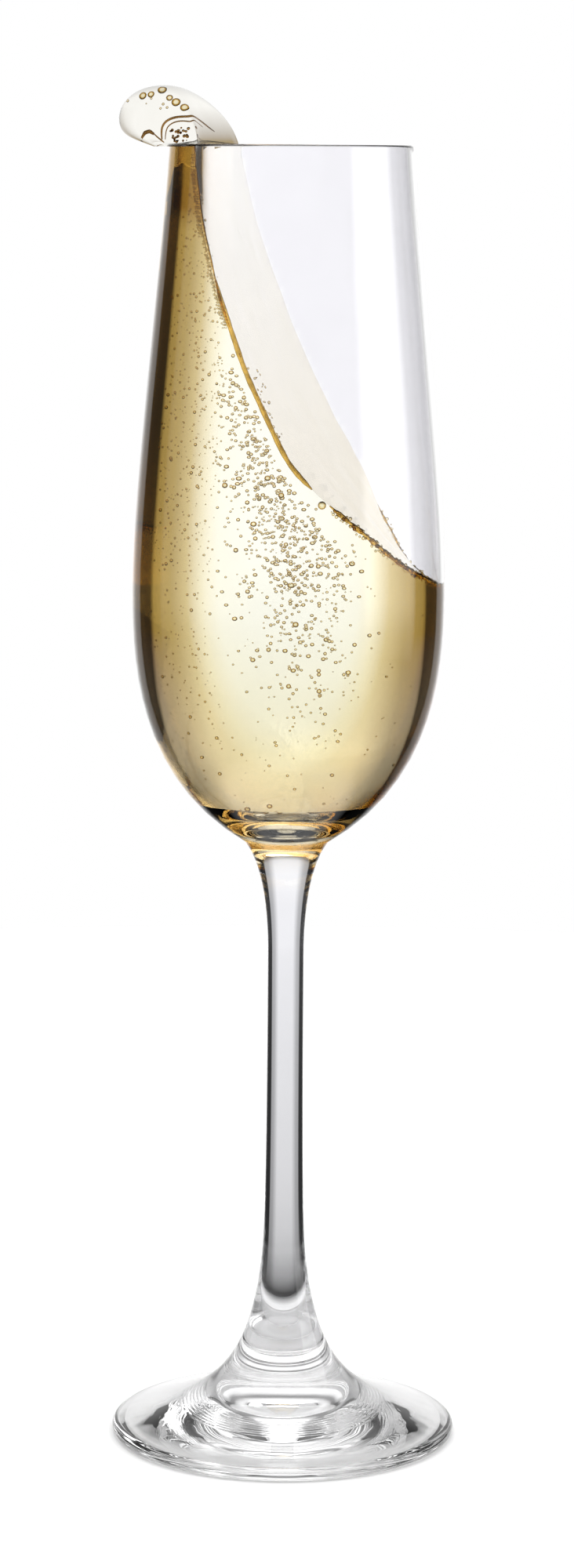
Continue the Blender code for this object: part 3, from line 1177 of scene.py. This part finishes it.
# %% [markdown]
# Wine takes its colour from depth: a long way through it is amber, a short way is pale. A volume would
# do that exactly, but the export drops it. In a round bowl, though, the way through the wine follows
# from the slant of the wall at which light enters, so a ramp over that slant does the same: pale gold
# in the middle, gold further out and dark brown at the edges. It only counts where light enters, and
# light that leaves isn't coloured again. The wall between glass and wine bends light but gives no
# mirror image, since the real one is too weak to see.

# %% Gold wine against the wall


def wine_against_wall(name, index):
    """Deeper in colour where the wall turns away, paler in the foot of the bowl, greyed with painted shade
    lower down.
    """
    made, nodes, links = new_material(name)
    shader = nodes["Principled BSDF"]
    as_glass(shader, index)
    shader.inputs["Specular Tint"].default_value = (*BLACK, 1.0)
    by_slant = slant_ramp(nodes, links, [
        (0.0, (1.0, 0.98, 0.80)),
        (0.050, (1.0, 0.95, 0.69)),
        (0.080, (0.90, 0.75, 0.37)),
        (0.108, (0.72, 0.46, 0.11)),
        (0.15, (0.66, 0.34, 0.035)),
        (0.200, (0.55, 0.23, 0.012)),
        (0.218, (0.36, 0.12, 0.005)),
        (0.34, (0.40, 0.16, 0.005)),
    ])
    behind = nodes.new("ShaderNodeNewGeometry")
    entering = mix_node(nodes, "MIX")
    links.new(behind.outputs["Backfacing"], entering.inputs["Factor"])
    links.new(by_slant, entering.inputs["A"])
    entering.inputs["B"].default_value = (*WHITE, 1.0)
    in_foot_of_bowl = place_ramp(nodes, links, "Z", 0.112, 0.150, [
        (0.0, (0.55, 0.55, 0.55)), (0.4, (0.45, 0.45, 0.45)), (1.0, BLACK),
    ])
    paler = mix_node(nodes, "MIX")
    links.new(in_foot_of_bowl, paler.inputs["Factor"])
    links.new(entering.outputs["Result"], paler.inputs["A"])
    paler.inputs["B"].default_value = (1.0, 0.88, 0.52, 1.0)
    # Painted shade: a grey that darkens the wine towards the bottom of the bowl.
    lower_painted_shade = place_ramp(nodes, links, "Z", 0.112, 0.236, [
        (0.0, (0.72, 0.73, 0.68)), (0.2, (0.87, 0.88, 0.84)), (0.45, WHITE),
    ])
    with_lower_shade = mix_node(nodes, "MULTIPLY")
    links.new(paler.outputs["Result"], with_lower_shade.inputs["A"])
    links.new(lower_painted_shade, with_lower_shade.inputs["B"])
    uneven = mottled(nodes, links, with_lower_shade.outputs["Result"], scale=120.0, low=0.97)
    links.new(uneven, shader.inputs["Base Color"])
    return made


THIN_INDEX = 1.02     # a thin sheet of wine hardly bends what lies behind it
gold_wine = wine_against_wall("gold_wine", WINE_INDEX)
thin_wine = wine_against_wall("thin_wine", THIN_INDEX)
print("gold wine:", len(gold_wine.node_tree.nodes), "nodes")

# %% [markdown]
# Just under the lip the column of wine is so narrow that its dark edge and its gold middle stand side
# by side. The slant of the wall alone can't tell them apart there, so the front of that short stretch
# is coloured by its place too: a dark band of painted shade at the edge, and gold dimmed by painted shade
# beside it. The colour fades out towards the side, where it isn't needed.

# %% Painted shade: dark and gold bands at the top of the column
column_top = wine_against_wall("column_top", WINE_INDEX)
nodes = column_top.node_tree.nodes
links = column_top.node_tree.links
shader = nodes["Principled BSDF"]
# Painted shade: dark at the column's edge, dimmed gold beside it, placed along X.
dark_and_gold_painted_shade = place_ramp(nodes, links, "X", -0.0214, -0.0164, [
    (0.0, (0.05, 0.025, 0.006)),
    (0.44, (0.06, 0.03, 0.008)),
    (0.56, (0.40, 0.25, 0.07)),
    (1.0, (0.50, 0.32, 0.10)),
])
near_lip = place_ramp(nodes, links, "Z", 0.220, 0.224, [(0.0, BLACK), (1.0, WHITE)])
in_front = place_ramp(nodes, links, "Y", -0.008, -0.003, [(0.0, WHITE), (1.0, BLACK)])
where = mix_node(nodes, "MULTIPLY")
links.new(near_lip, where.inputs["A"])
links.new(in_front, where.inputs["B"])
painted_band_shade = mix_node(nodes, "MULTIPLY")
links.new(where.outputs["Result"], painted_band_shade.inputs["Factor"])
links.new(shader.inputs["Base Color"].links[0].from_socket, painted_band_shade.inputs["A"])
links.new(dark_and_gold_painted_shade, painted_band_shade.inputs["B"])
links.new(painted_band_shade.outputs["Result"], shader.inputs["Base Color"])
print("column top:", len(nodes), "nodes")

# %% [markdown]
# The open face of the wave is wine in air, full of bubbles too fine to see, so it looks like a faint
# milky veil. Its index stays close to that of air: at the full index the thin wave would act as a
# strong lens and show the dark sides of the room, where the real one shows only its cloud. The crest
# bends light a little more, and its underside gets painted shade, dark brown where the wine turns under.

# %% Open skin of the wave, and the crest


def cloudy_skin(name, index, low, high, foot, underside_painted_shade=None):
    """Clear wine with a faint milky cloud in it, drawn out along the wave and warmer at its foot, with
    painted shade on its underside when that colour is given.
    """
    made, nodes, links = new_material(name)
    shader = nodes["Principled BSDF"]
    as_glass(shader, index, 0.02)
    place = nodes.new("ShaderNodeTexCoord")
    stretch = nodes.new("ShaderNodeMapping")
    stretch.inputs["Scale"].default_value = (260.0, 260.0, 90.0)
    links.new(place.outputs["Object"], stretch.inputs["Vector"])
    cloudy = nodes.new("ShaderNodeTexNoise")
    cloudy.inputs["Scale"].default_value = 1.0
    cloudy.inputs["Detail"].default_value = 3.0
    links.new(stretch.outputs["Vector"], cloudy.inputs["Vector"])
    pale = ramp_node(nodes, [(0.3, low), (0.7, high)])
    links.new(cloudy.outputs["Fac"], pale.inputs[0])
    upward = place_ramp(nodes, links, "Z", 0.165, 0.232, [(0.0, foot), (1.0, (1.0, 0.99, 0.965))])
    both = mix_node(nodes, "MULTIPLY")
    links.new(pale.outputs["Color"], both.inputs["A"])
    links.new(upward, both.inputs["B"])
    if underside_painted_shade is not None:
        # Painted shade on the crest's underside, at its slanted edges.
        edge = slant_ramp(nodes, links, [(0.0, WHITE), (0.45, WHITE), (0.72, underside_painted_shade)])
        underside_shade_mask = place_ramp(nodes, links, "Z", 0.2355, 0.2415, [(0.0, WHITE), (1.0, BLACK)])
        under = mix_node(nodes, "MULTIPLY")
        links.new(underside_shade_mask, under.inputs["Factor"])
        links.new(both.outputs["Result"], under.inputs["A"])
        links.new(edge, under.inputs["B"])
        both = under
    links.new(both.outputs["Result"], shader.inputs["Base Color"])
    return made


CREST_INDEX = 1.06
wave_skin = cloudy_skin(
    "wave_skin", THIN_INDEX, low=(0.92, 0.905, 0.855), high=(0.95, 0.935, 0.90), foot=(0.89, 0.80, 0.60)
)
crest_skin = cloudy_skin(
    "crest_skin", CREST_INDEX, low=(0.77, 0.765, 0.74), high=(0.81, 0.805, 0.785), foot=WHITE,
    underside_painted_shade=(0.16, 0.10, 0.03),
)
print("skins:", wave_skin.name, "and", crest_skin.name)

# %% [markdown]
# A bubble shows as a clear middle with a gold ring, and so does a bead of froth. The ring is painted
# shade: it lies where the ball turns away from the eye, so the slant gives it. The rolls along the tide
# line are amber all over, because a thin roll bends light from every side, and painted shade darkens
# them towards the lip.

# %% Bubbles, froth and the amber rolls


def with_painted_ring(name, index, edge):
    """A clear middle with a ring of painted shade in the edge colour."""
    made, nodes, links = new_material(name)
    shader = nodes["Principled BSDF"]
    as_glass(shader, index)
    # Painted shade: the ring darkens to the edge colour where the ball turns away.
    ring = slant_ramp(nodes, links, [
        (0.0, (1.0, 0.97, 0.8)),
        (0.12, (1.0, 0.88, 0.55)),
        (0.26, edge),
        (1.0, edge),
    ])
    links.new(mottled(nodes, links, ring, scale=700.0, low=0.8), shader.inputs["Base Color"])
    return made


BUBBLE_INDEX = 1.12
FROTH_INDEX = 1.16
ROLL_INDEX = 1.14
bubble_wall = with_painted_ring("bubble_wall", BUBBLE_INDEX, edge=(0.42, 0.22, 0.015))
froth_bead = with_painted_ring("froth_bead", FROTH_INDEX, edge=(0.64, 0.44, 0.16))
froth.data.materials.clear()
froth.data.materials.append(froth_bead)

amber_roll, nodes, links = new_material("amber_roll")
shader = nodes["Principled BSDF"]
as_glass(shader, ROLL_INDEX)
# Painted shade: the rolls darken towards the lip.
lip_painted_shade = place_ramp(nodes, links, "Z", 0.225, 0.236, [
    (0.0, (0.84, 0.54, 0.12)), (1.0, (0.32, 0.17, 0.05)),
])
links.new(mottled(nodes, links, lip_painted_shade, scale=500.0, low=0.55), shader.inputs["Base Color"])
tide_line.data.materials.clear()
tide_line.data.materials.append(amber_roll)
print("finishes:", bubble_wall.name, froth_bead.name, amber_roll.name)

# %% [markdown]
# The wine has one slot for each kind of face, in the order in which the kinds were numbered. The
# hollows are joined last, so that their faces come after the wine's own and keep their own finish.

# %% Hand the materials to the wine and join the hollows
wine.data.materials.clear()
for finish in (gold_wine, thin_wine, wave_skin, crest_skin, column_top):
    wine.data.materials.append(finish)
wine.data.polygons.foreach_set("material_index", np.array(kinds, dtype=np.int32))
hollows.data.materials.clear()
hollows.data.materials.append(bubble_wall)
wine = join_all([wine, hollows], "sparkling_wine")
print("wine with its bubbles:", triangles(wine), "triangles")

# %% [markdown]
# Each piece is attached to the body it moves with, and the imported node it stands in for is hidden.
# Nothing moves here, so all ride on the one root body.

# %% Ride and replace
for piece, node, slot in (
    (glass, "glass", "clear_glass"),
    (wine, "champagne", "pale_gold_wine"),
    (tide_line, "champagne", "pale_gold_wine"),
    (froth, "champagne", "pale_gold_wine"),
):
    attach(piece, "root")
    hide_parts(node)

# %% [markdown]
# ## Floor and light
# Clear things are shaped by the dark and bright parts of the room round them. The floor is plain and
# pale. The eye sees all of it, but light that has gone through the glass finds only the small disc
# under the foot and passes through the rest to the studio below, which gives the stem its dark lines.

# %% Floor
FLOOR_RADIUS = 0.5
FLOOR_DROP = 0.00005  # just under the foot, so that the two surfaces don't fight
DISC_EDGE = (0.038, 0.046)

start_clean()
bpy.ops.mesh.primitive_circle_add(
    vertices=128, radius=FLOOR_RADIUS, fill_type="NGON", location=(0.0, 0.0, -FLOOR_DROP)
)
floor = bpy.context.object
floor.name = "floor"
floor_paint, nodes, links = new_material("floor_paint")
shader = nodes["Principled BSDF"]
shader.inputs["Base Color"].default_value = (0.80, 0.80, 0.80, 1.0)
shader.inputs["Roughness"].default_value = 0.9
shader.inputs["Specular IOR Level"].default_value = 0.0
floor.data.materials.append(floor_paint)

# %% The floor beyond the small disc lets light from the glass through
place = nodes.new("ShaderNodeTexCoord")
reach = nodes.new("ShaderNodeVectorMath")
reach.operation = "LENGTH"
links.new(place.outputs["Object"], reach.inputs[0])
far = nodes.new("ShaderNodeMapRange")
far.inputs["From Min"].default_value = DISC_EDGE[0]
far.inputs["From Max"].default_value = DISC_EDGE[1]
links.new(reach.outputs["Value"], far.inputs["Value"])
path = nodes.new("ShaderNodeLightPath")
through = nodes.new("ShaderNodeMath")
through.operation = "SUBTRACT"
through.use_clamp = True
links.new(far.outputs["Result"], through.inputs[0])
links.new(path.outputs["Is Camera Ray"], through.inputs[1])
clear_out = nodes.new("ShaderNodeBsdfTransparent")
either = nodes.new("ShaderNodeMixShader")
links.new(through.outputs[0], either.inputs[0])
links.new(shader.outputs["BSDF"], either.inputs[1])
links.new(clear_out.outputs["BSDF"], either.inputs[2])
links.new(either.outputs["Shader"], nodes["Material Output"].inputs["Surface"])
print("floor radius:", FLOOR_RADIUS)

# %% [markdown]
# Clear glass is best lit by a bright sheet behind it, with dark boards at its sides. The sheet shines
# through, and the boards draw the dark outlines. Lamps and cards could stand in the scene, but
# they would show in the glass as objects. The world can be the whole studio: its light is a product
# of a ramp round the compass and a ramp over the height, once for the backlight and once for the side
# boxes, with light from above and below added. The eye itself sees plain white behind the glass.

# %% World and its directions
world = bpy.data.worlds.new("studio")
bpy.context.scene.world = world
world.use_nodes = True
nodes = world.node_tree.nodes
links = world.node_tree.links
nodes.clear()
place = nodes.new("ShaderNodeTexCoord")
split = nodes.new("ShaderNodeSeparateXYZ")
links.new(place.outputs["Generated"], split.inputs[0])


def math_node(operation, a, b=None, c=None):
    """The result of a Math node over up to three numbers or sockets."""
    node = nodes.new("ShaderNodeMath")
    node.operation = operation
    for socket, value in zip(node.inputs, (a, b, c)):
        if value is None:
            continue
        if hasattr(value, "links"):
            links.new(value, socket)
        else:
            socket.default_value = value
    return node.outputs[0]


around = math_node("ARCTAN2", split.outputs["X"], split.outputs["Y"])
compass = math_node("MULTIPLY_ADD", around, 1.0 / math.tau, 0.5)
rise = math_node("MULTIPLY_ADD", split.outputs["Z"], 0.5, 0.5)
print("nodes that find the direction of light:", len(nodes))

# %% Ramps of light


def grey_ramp(value, stops):
    """A ramp of greys over a value that already runs from 0 to 1."""
    node = ramp_node(nodes, [(position, (grey, grey, grey)) for position, grey in stops])
    links.new(value, node.inputs[0])
    return node.outputs["Color"]


def compass_ramp(left, right):
    """Light round the compass, in degrees to the left and right of straight behind the glass."""
    stops = [((180 - degrees) / 360, grey) for degrees, grey in reversed(left)]
    stops += [((180 + degrees) / 360, grey) for degrees, grey in right]
    return grey_ramp(compass, stops)


def rise_ramp(stops):
    """Light over the height, in degrees above the horizon."""
    return grey_ramp(rise, [(0.5 + 0.5 * math.sin(math.radians(degrees)), grey) for degrees, grey in stops])


def combined(blend, a, b):
    """The product or the sum of two lights."""
    node = mix_node(nodes, blend)
    links.new(a, node.inputs["A"])
    links.new(b, node.inputs["B"])
    return node.outputs["Result"]


# %% Backlight, side boxes, and light from above and below
backlight = combined(
    "MULTIPLY",
    compass_ramp(
        left=[(16, 1.2), (21, 0.95), (27, 0.66), (37.5, 0.55), (39, 0.05), (70, 0.05), (74, 0.0)],
        right=[(0, 1.2), (16, 1.2), (21, 0.95), (27, 0.66), (37, 0.55), (39, 0.04), (70, 0.04), (74, 0.0)],
    ),
    rise_ramp([
        (-90, 0.02), (-30, 0.02), (-26, 0.30), (-19, 0.66), (-10, 1.0),
        (8, 1.0), (22, 0.8), (32, 0.25), (90, 0.0),
    ]),
)
side_boxes = combined(
    "MULTIPLY",
    compass_ramp(
        left=[(70, 0.0), (74, 0.5), (110, 0.7), (180, 0.3)],
        right=[(72, 0.0), (75, 1.3), (80, 1.9), (118, 1.9), (124, 0.3)],
    ),
    rise_ramp([(-90, 0.02), (-14, 0.02), (-6, 1.0), (40, 1.0), (50, 0.0)]),
)
above_and_below = rise_ramp([(-90, 0.9), (-60, 0.9), (-50, 0.0), (38, 0.0), (48, 0.8), (57, 3.0), (90, 3.0)])
studio = combined("ADD", combined("ADD", backlight, side_boxes), above_and_below)

# %% White behind the glass for the eye, the studio for all other light
path = nodes.new("ShaderNodeLightPath")
seen = mix_node(nodes, "MIX")
links.new(path.outputs["Is Camera Ray"], seen.inputs["Factor"])
links.new(studio, seen.inputs["A"])
seen.inputs["B"].default_value = (*WHITE, 1.0)
backdrop = nodes.new("ShaderNodeBackground")
links.new(seen.outputs["Result"], backdrop.inputs["Color"])
out = nodes.new("ShaderNodeOutputWorld")
links.new(backdrop.outputs["Background"], out.inputs["Surface"])
print("studio:", len(nodes), "nodes")

# %% [markdown]
# Light passes through many walls here: the glass, the wine, a bubble, and out again on the far side.
# Each wall counts as a bounce, so the bounce limits are raised.

# %% Bounces and plain view
bpy.context.scene.view_settings.view_transform = "Standard"
bpy.context.scene.cycles.max_bounces = 24
bpy.context.scene.cycles.transmission_bounces = 20
bpy.context.scene.cycles.glossy_bounces = 8
